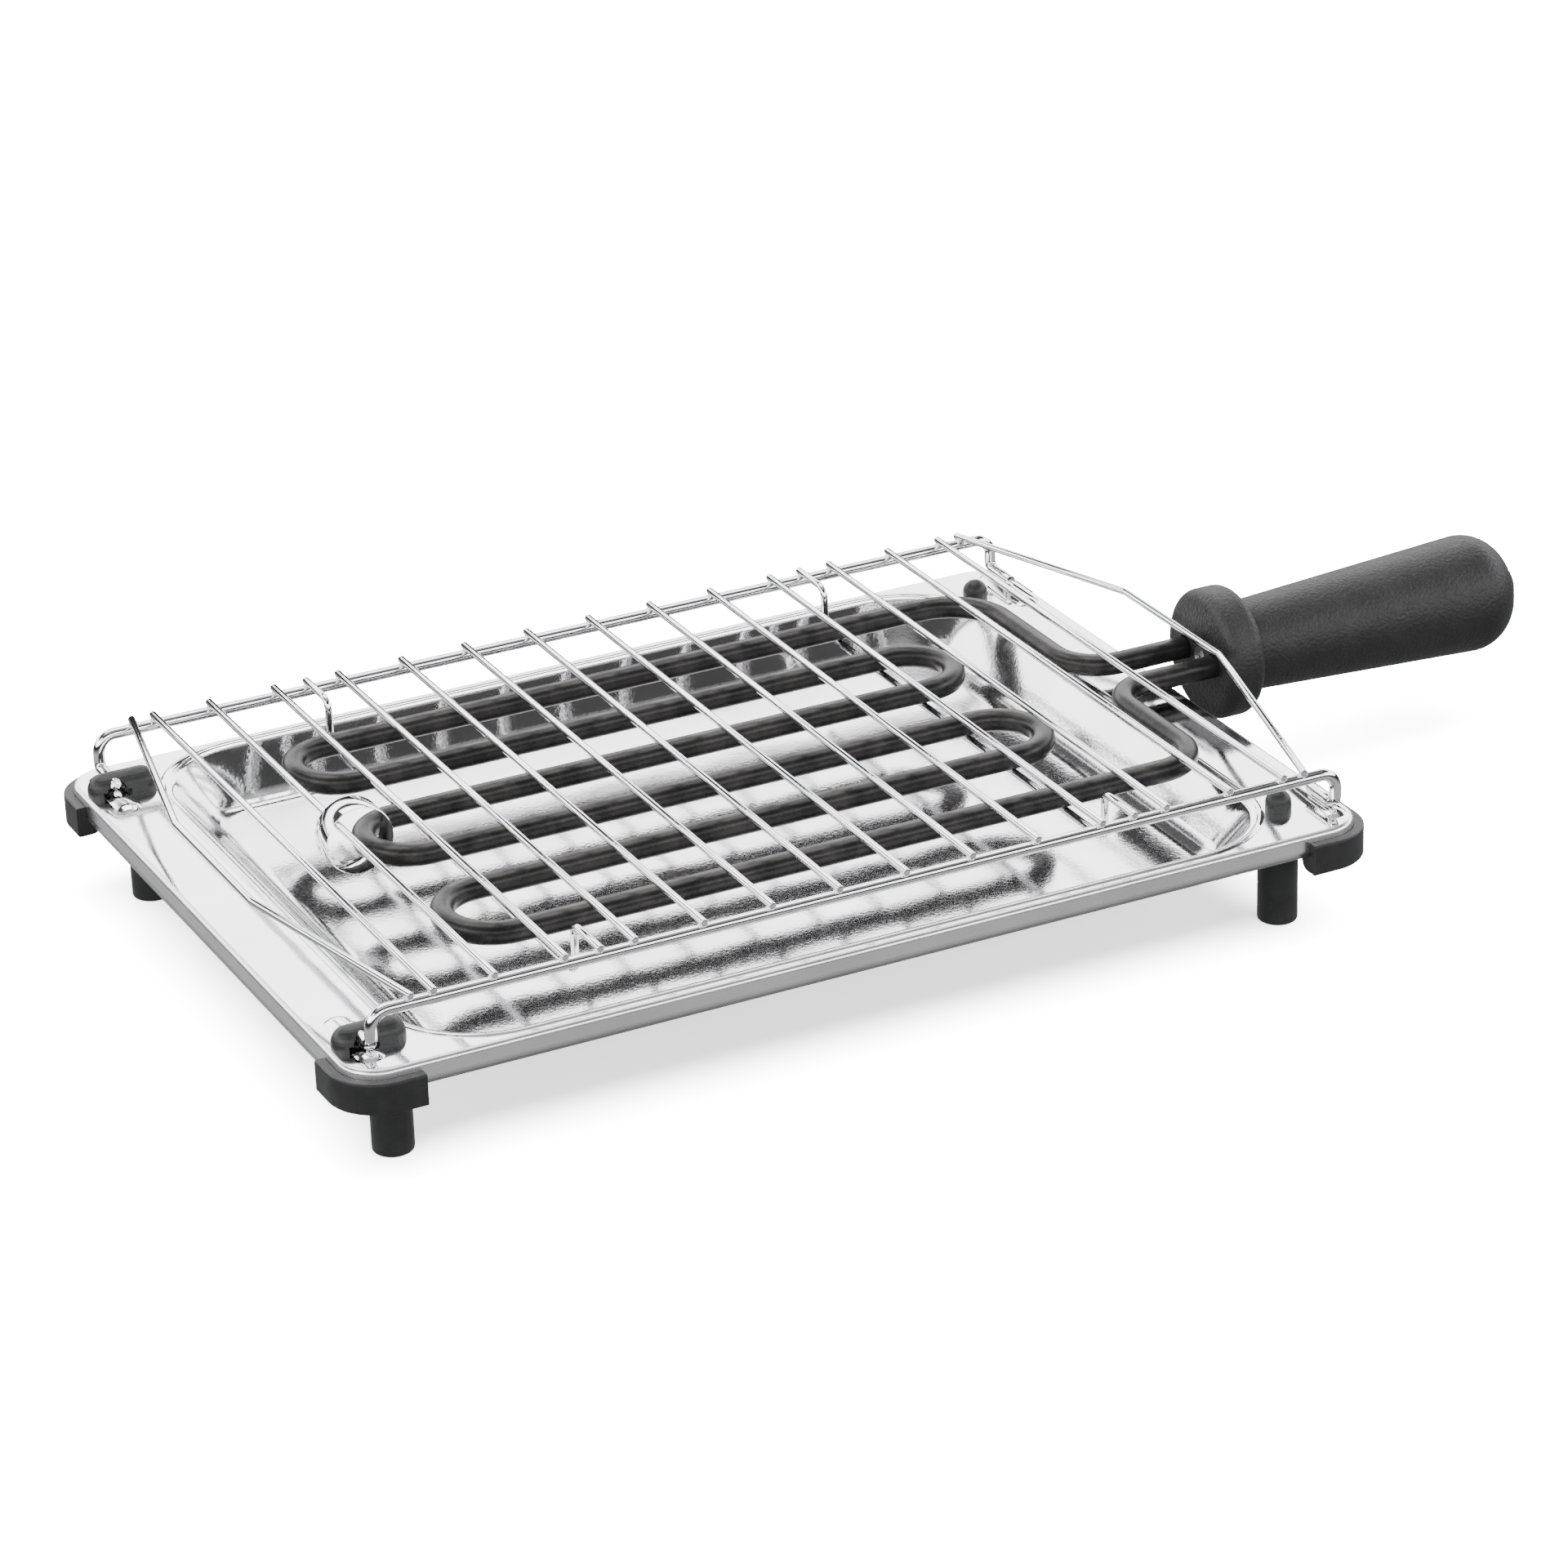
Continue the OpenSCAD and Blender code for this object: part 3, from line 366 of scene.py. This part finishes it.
# ---------------------------------------------------------------- wire grid
# Chromed drawn wire: two rails bent down to legs and toes, fourteen straight wires and two bent
# end wires spot-welded across them, and two cradle wires that carry the element underneath.
grid_x, leg_half, rail_y, rail_z, rail_r = 2.0, 202.5, 138.3, 65.55, 2.4
toe_z, toe_in, toe_bend, leg_bend = 51.95, 120.3, 3.6, 7
wire_r, wire_z, wire_end, pitch = 1.5, 69.2, 140.46, 28.0
cradle_z, cradle_y, cradle_bend = 49.7, 117, 4.5
chrome, shader = new_material("bright_chrome", (0.83, 0.83, 0.84), 1, 0.09)
add_tint(chrome, shader, 260, (0.76, 0.76, 0.77), (0.86, 0.86, 0.87))
add_bump(chrome, shader, 420, 0.1, 0.0003, 2.0, rough=(0.04, 0.11))


def bent_line(points, radii, step=7.5):
    """Points along a line that turns at each inner point with the bend radius given for it."""
    pts = [Vector(p) for p in points]
    line = [pts[0]]
    for i in range(1, len(pts) - 1):
        u, v = (pts[i] - pts[i - 1]).normalized(), (pts[i + 1] - pts[i]).normalized()
        angle = u.angle(v)
        r = radii[i - 1]
        trim = r * math.tan(angle / 2)
        start = pts[i] - u * trim
        side = (v - u * u.dot(v)).normalized()
        n = max(2, int(math.degrees(angle) / step))
        for k in range(n + 1):
            w = angle * k / n
            line.append(start + u * (r * math.sin(w)) + side * (r * (1 - math.cos(w))))
    line.append(pts[-1])
    clean = [line[0]]
    for p in line[1:]:
        if (p - clean[-1]).length > 1e-4:
            clean.append(p)
    return clean


def tube_mesh(line, section, tip):
    """A bar of the given cross-section along a line, with slightly rounded ends."""
    n = len(section)
    size = max(math.hypot(a, b) for a, b in section)
    first, last = (line[1] - line[0]).normalized(), (line[-1] - line[-2]).normalized()
    stations = [(line[0], first, (size - tip) / size),
                (line[0] + first * tip * 0.3, first, (size - tip * 0.3) / size),
                (line[0] + first * tip, first, 1)]
    for i in range(1, len(line) - 1):
        stations.append((line[i], (line[i + 1] - line[i - 1]).normalized(), 1))
    stations += [(line[-1] - last * tip, last, 1),
                 (line[-1] - last * tip * 0.3, last, (size - tip * 0.3) / size),
                 (line[-1], last, (size - tip) / size)]
    side = Vector((0, 0, 1)).cross(first)
    if side.length < 0.1:
        side = Vector((1, 0, 0))
    verts = []
    for spot, way, scale in stations:
        side = (side - way * side.dot(way)).normalized()
        top = way.cross(side)
        for a, b in section:
            p = spot + side * (a * scale) + top * (b * scale)
            verts.append((p.x, p.y, p.z))
    faces = loop_faces(len(stations) - 1, n)
    faces.append(tuple(range(n - 1, -1, -1)))
    faces.append(tuple((len(stations) - 1) * n + i for i in range(n)))
    return verts, faces


def wire_piece(name, points, radii, r, node, n=20):
    """A chromed wire, bent at its inner points, that stands for one CAD wire."""
    section = [(r * math.cos(2 * math.pi * i / n), r * math.sin(2 * math.pi * i / n)) for i in range(n)]
    verts, faces = tube_mesh(bent_line(points, radii), section, 0.35)
    keep_edges(link_piece(name, verts, faces, [chrome], "grill", [node]), 50)


for side, name in ((-1, "front_rail"), (1, "rear_rail")):
    x0, x1, y = grid_x - leg_half, grid_x + leg_half, side * rail_y
    wire_piece(name + "_wire",
               [(x0, side * toe_in, toe_z), (x0, y, toe_z), (x0, y, rail_z),
                (x1, y, rail_z), (x1, y, toe_z), (x1, side * toe_in, toe_z)],
               [toe_bend, leg_bend, leg_bend, toe_bend], rail_r, name, 28)
cross_at = [grid_x + step for step in [-178] + [(i - 7.5) * pitch for i in range(2, 14)] + [178]]
for i, x in enumerate(cross_at, 1):
    wire_piece("straight_wire_%d" % i, [(x, -wire_end, wire_z), (x, wire_end, wire_z)], [], wire_r,
               "cross_wire_%d" % i)
end_wires = (("left", grid_x - 187, grid_x - 207.5, -39, 39), ("right", grid_x + 187, grid_x + 218, -26, 50))
for name, tip_x, out_x, front, rear in end_wires:
    wire_piece(name + "_end_wire",
               [(tip_x, -wire_end, wire_z), (out_x, front, wire_z), (out_x, rear, wire_z), (tip_x, wire_end, wire_z)],
               [9, 9], wire_r, "end_wire_" + name)
cradles = (("left", grid_x - 112), ("right", grid_x + 112))
for name, x in cradles:
    wire_piece(name + "_cradle",
               [(x, -wire_end, wire_z), (x, -cradle_y, wire_z), (x, -cradle_y, cradle_z),
                (x, cradle_y, cradle_z), (x, cradle_y, wire_z), (x, wire_end, wire_z)],
               [cradle_bend] * 4, wire_r, "cradle_wire_" + name)

# Spot welds: a small flattened swelling of metal where each wire crosses a rail.
weld_x, weld_y, weld_z, weld_at = 2.0, 1.9, 0.62, 67.75
spots = [(x, s * rail_y) for x in cross_at + [c[1] for c in cradles] for s in (-1, 1)]
spots += [(x, y) for x in (end_wires[0][1] - 0.5, end_wires[1][1] + 0.6) for y in (-rail_y, rail_y)]
rows, cols = 6, 12
verts, faces = [], []
for x, y in spots:
    faces += loop_faces(rows, cols, len(verts), flip=True)
    for r in range(rows + 1):
        lat = math.pi * r / rows
        for c in range(cols):
            a = 2 * math.pi * c / cols
            verts.append((x + weld_x * math.sin(lat) * math.cos(a), y + weld_y * math.sin(lat) * math.sin(a),
                          weld_at + weld_z * math.cos(lat)))
link_piece("spot_welds", verts, faces, [chrome], "grill")

# ---------------------------------------------------------------- ring clip
# A short band of bright steel sheet, rolled into a ring round the second wire and the middle
# turn of the element, so that the element can't slide along the grid.
run_pitch, element_z, tube_r = 37.25, 55.95, 4.75
middle_turn = grid_x - 121.9
half_band, ring_slack, ring_y = 5.96, 0.1, 11.375
wire_spot = Vector((grid_x - 154, wire_z))
turn_spot = Vector((middle_turn - run_pitch / 2, element_z))
gap = (turn_spot - wire_spot).length
turn_in_r = run_pitch / 2 - tube_r
turn_sag = turn_in_r - math.sqrt(turn_in_r ** 2 - half_band ** 2)
ring_r = (gap + wire_r + tube_r + turn_sag + ring_slack) / 2
ring_at = wire_spot + (turn_spot - wire_spot) * ((ring_r - wire_r) / gap)
front_edge = [(ring_r + 0.02, 0.25), (ring_r + 0.2, 0), (ring_r + 0.5, 0), (ring_r + 0.68, 0.25)]
band = [(r, -half_band + edge) for r, edge in front_edge]
band += [(r, half_band - edge) for r, edge in reversed(front_edge)]
rows, cols = 72, len(band)
verts, faces = [], []
for i in range(rows):
    a = 2 * math.pi * i / rows
    for r, y in band:
        verts.append((ring_at.x + r * math.cos(a), ring_y + y, ring_at.y + r * math.sin(a)))
for i in range(rows):
    here, beyond = i * cols, (i + 1) % rows * cols
    for c in range(cols):
        d = (c + 1) % cols
        faces.append((here + c, beyond + c, beyond + d, here + d))
keep_edges(link_piece("ring_band", verts, faces, [chrome], "grill", ["ring_clip"]), 40)

# ---------------------------------------------------------------- heating element
# One steel sheath, packed with oxide round its resistance wire and rolled slightly flat, bent
# cold into three left and two right turns. Heat has dulled it to a nearly black oxide.
axis_y, lead_half, lead_stop = 3.5, 11.5, 264
half_w, half_h, roundness = 4.72, 4.36, 0.82
oxide, shader = new_material("dark_oxide", (0.024, 0.023, 0.023), 0.5, 0.34)
shader.inputs["Specular IOR Level"].default_value = 0.3
add_tint(oxide, shader, 90, (0.009, 0.0085, 0.0085), (0.030, 0.028, 0.0275))
add_bump(oxide, shader, 160, 0.25, 0.0004, 2.0)
add_bump(oxide, shader, 1400, 0.4, 0.0002, 3.0, rough=(0.24, 0.4))
runs = [104.5 - run_pitch * i for i in range(5)] + [-85.5]
left_turns = [grid_x - 120.5, middle_turn, grid_x - 120.5]
right_turns = grid_x + 115
cross_run = grid_x + 175.5
rear_lead, front_lead = axis_y + lead_half, axis_y - lead_half
route = [(lead_stop, rear_lead), (cross_run, rear_lead), (cross_run, runs[0])]
radii = [19, 25]
for k in range(3):
    a, b = runs[2 * k], runs[2 * k + 1]
    r = (a - b) / 2
    route += [(left_turns[k] - r, a), (left_turns[k] - r, b)]
    radii += [r, r]
    if k < 2:
        c = runs[2 * k + 2]
        r = (b - c) / 2
        route += [(right_turns + r, b), (right_turns + r, c)]
        radii += [r, r]
route += [(cross_run, runs[5]), (cross_run, front_lead), (lead_stop, front_lead)]
radii += [19, 19]
section = []
for i in range(36):
    a = 2 * math.pi * i / 36
    section.append((half_w * math.copysign(abs(math.cos(a)) ** roundness, math.cos(a)),
                    half_h * math.copysign(abs(math.sin(a)) ** roundness, math.sin(a))))
# The flattened sheath is lower than a round one, and still lies on the cradle wires.
line = bent_line([(x, y, element_z - 0.36) for x, y in route], radii, 5)
verts, faces = tube_mesh(line, section, 0.3)
element = link_piece("element_sheath", verts, faces, [oxide], "grill", ["heating_element"])
keep_edges(element, 60)

# ---------------------------------------------------------------- handle
# Hollow black moulding with a heavy round collar against the heat, grained like the feet but
# coarser. Inside it are the element's ends, a bolt that holds them, and the cord's terminals.
grip_start, grip_bore, grip_end = 245.0, 17.2, 374
shoulder_x, shoulder_r, nose_x, nose_r = 246.2, 18.8, 356, 24.7
grained, shader = new_material("grained_moulding", (0.011, 0.011, 0.0115), 0, 0.5)
shader.inputs["Specular IOR Level"].default_value = 0.33
add_tint(grained, shader, 70, (0.009, 0.009, 0.0093), (0.014, 0.014, 0.0145))
add_bump(grained, shader, 800, 1.0, 0.0005, 3.0, rough=(0.38, 0.56))
finish_nodes(grained, "handle_collar")

# The grip's outline as (distance along X, radius): shoulder, taper, nose, cord hole and bore.
outline = [(grip_start, grip_bore), (grip_start, 17.5)] + arc_points(shoulder_x, 17.7, 1.2, 180, 90, 6)
for k in range(1, 22):
    t = k / 21
    outline.append((shoulder_x + (nose_x - shoulder_x) * t, shoulder_r + (nose_r - shoulder_r) * t))
outline += arc_points(nose_x, 6.7, 18, 88, 0, 22)
outline += [(grip_end, 6.4), (373.4, 6.05), (372.0, 6.0), (nose_x, 6.0), (nose_x, grip_bore), (grip_start, grip_bore)]
n = 96
verts = []
for x, r in outline:
    for i in range(n):
        a = 2 * math.pi * i / n
        verts.append((x, axis_y + r * math.cos(a), element_z + r * math.sin(a)))
faces = loop_faces(len(outline) - 1, n, flip=True)
keep_edges(link_piece("grip_shell", verts, faces, [grained], "grill", ["handle_grip"]), 40)

rubber, shader = new_material("black_rubber", (0.012, 0.012, 0.012), 0, 0.7)
add_tint(rubber, shader, 200, (0.009, 0.009, 0.009), (0.018, 0.018, 0.018))
add_bump(rubber, shader, 1600, 0.3, 0.0002, 2.0, rough=(0.6, 0.8))
finish_nodes(rubber, "cord_gland")
ceramic, shader = new_material("glazed_ceramic", (0.78, 0.74, 0.64), 0, 0.25)
add_tint(ceramic, shader, 150, (0.72, 0.68, 0.58), (0.82, 0.79, 0.70))
add_bump(ceramic, shader, 500, 0.1, 0.0002, 2.0, rough=(0.18, 0.34))
finish_nodes(ceramic, "element_seals", "terminal_block")
brass, shader = new_material("plain_brass", (0.72, 0.52, 0.22), 1, 0.28)
add_tint(brass, shader, 400, (0.62, 0.44, 0.18), (0.78, 0.58, 0.27))
add_bump(brass, shader, 900, 0.15, 0.0002, 2.0, rough=(0.2, 0.38))
finish_nodes(brass, "earth_tag", "terminal_screws")
finish_nodes(zinc, "terminal_pins", "handle_bolt", "lead_bridge", "bolt_nut", "cord_clamp", "clamp_screws")
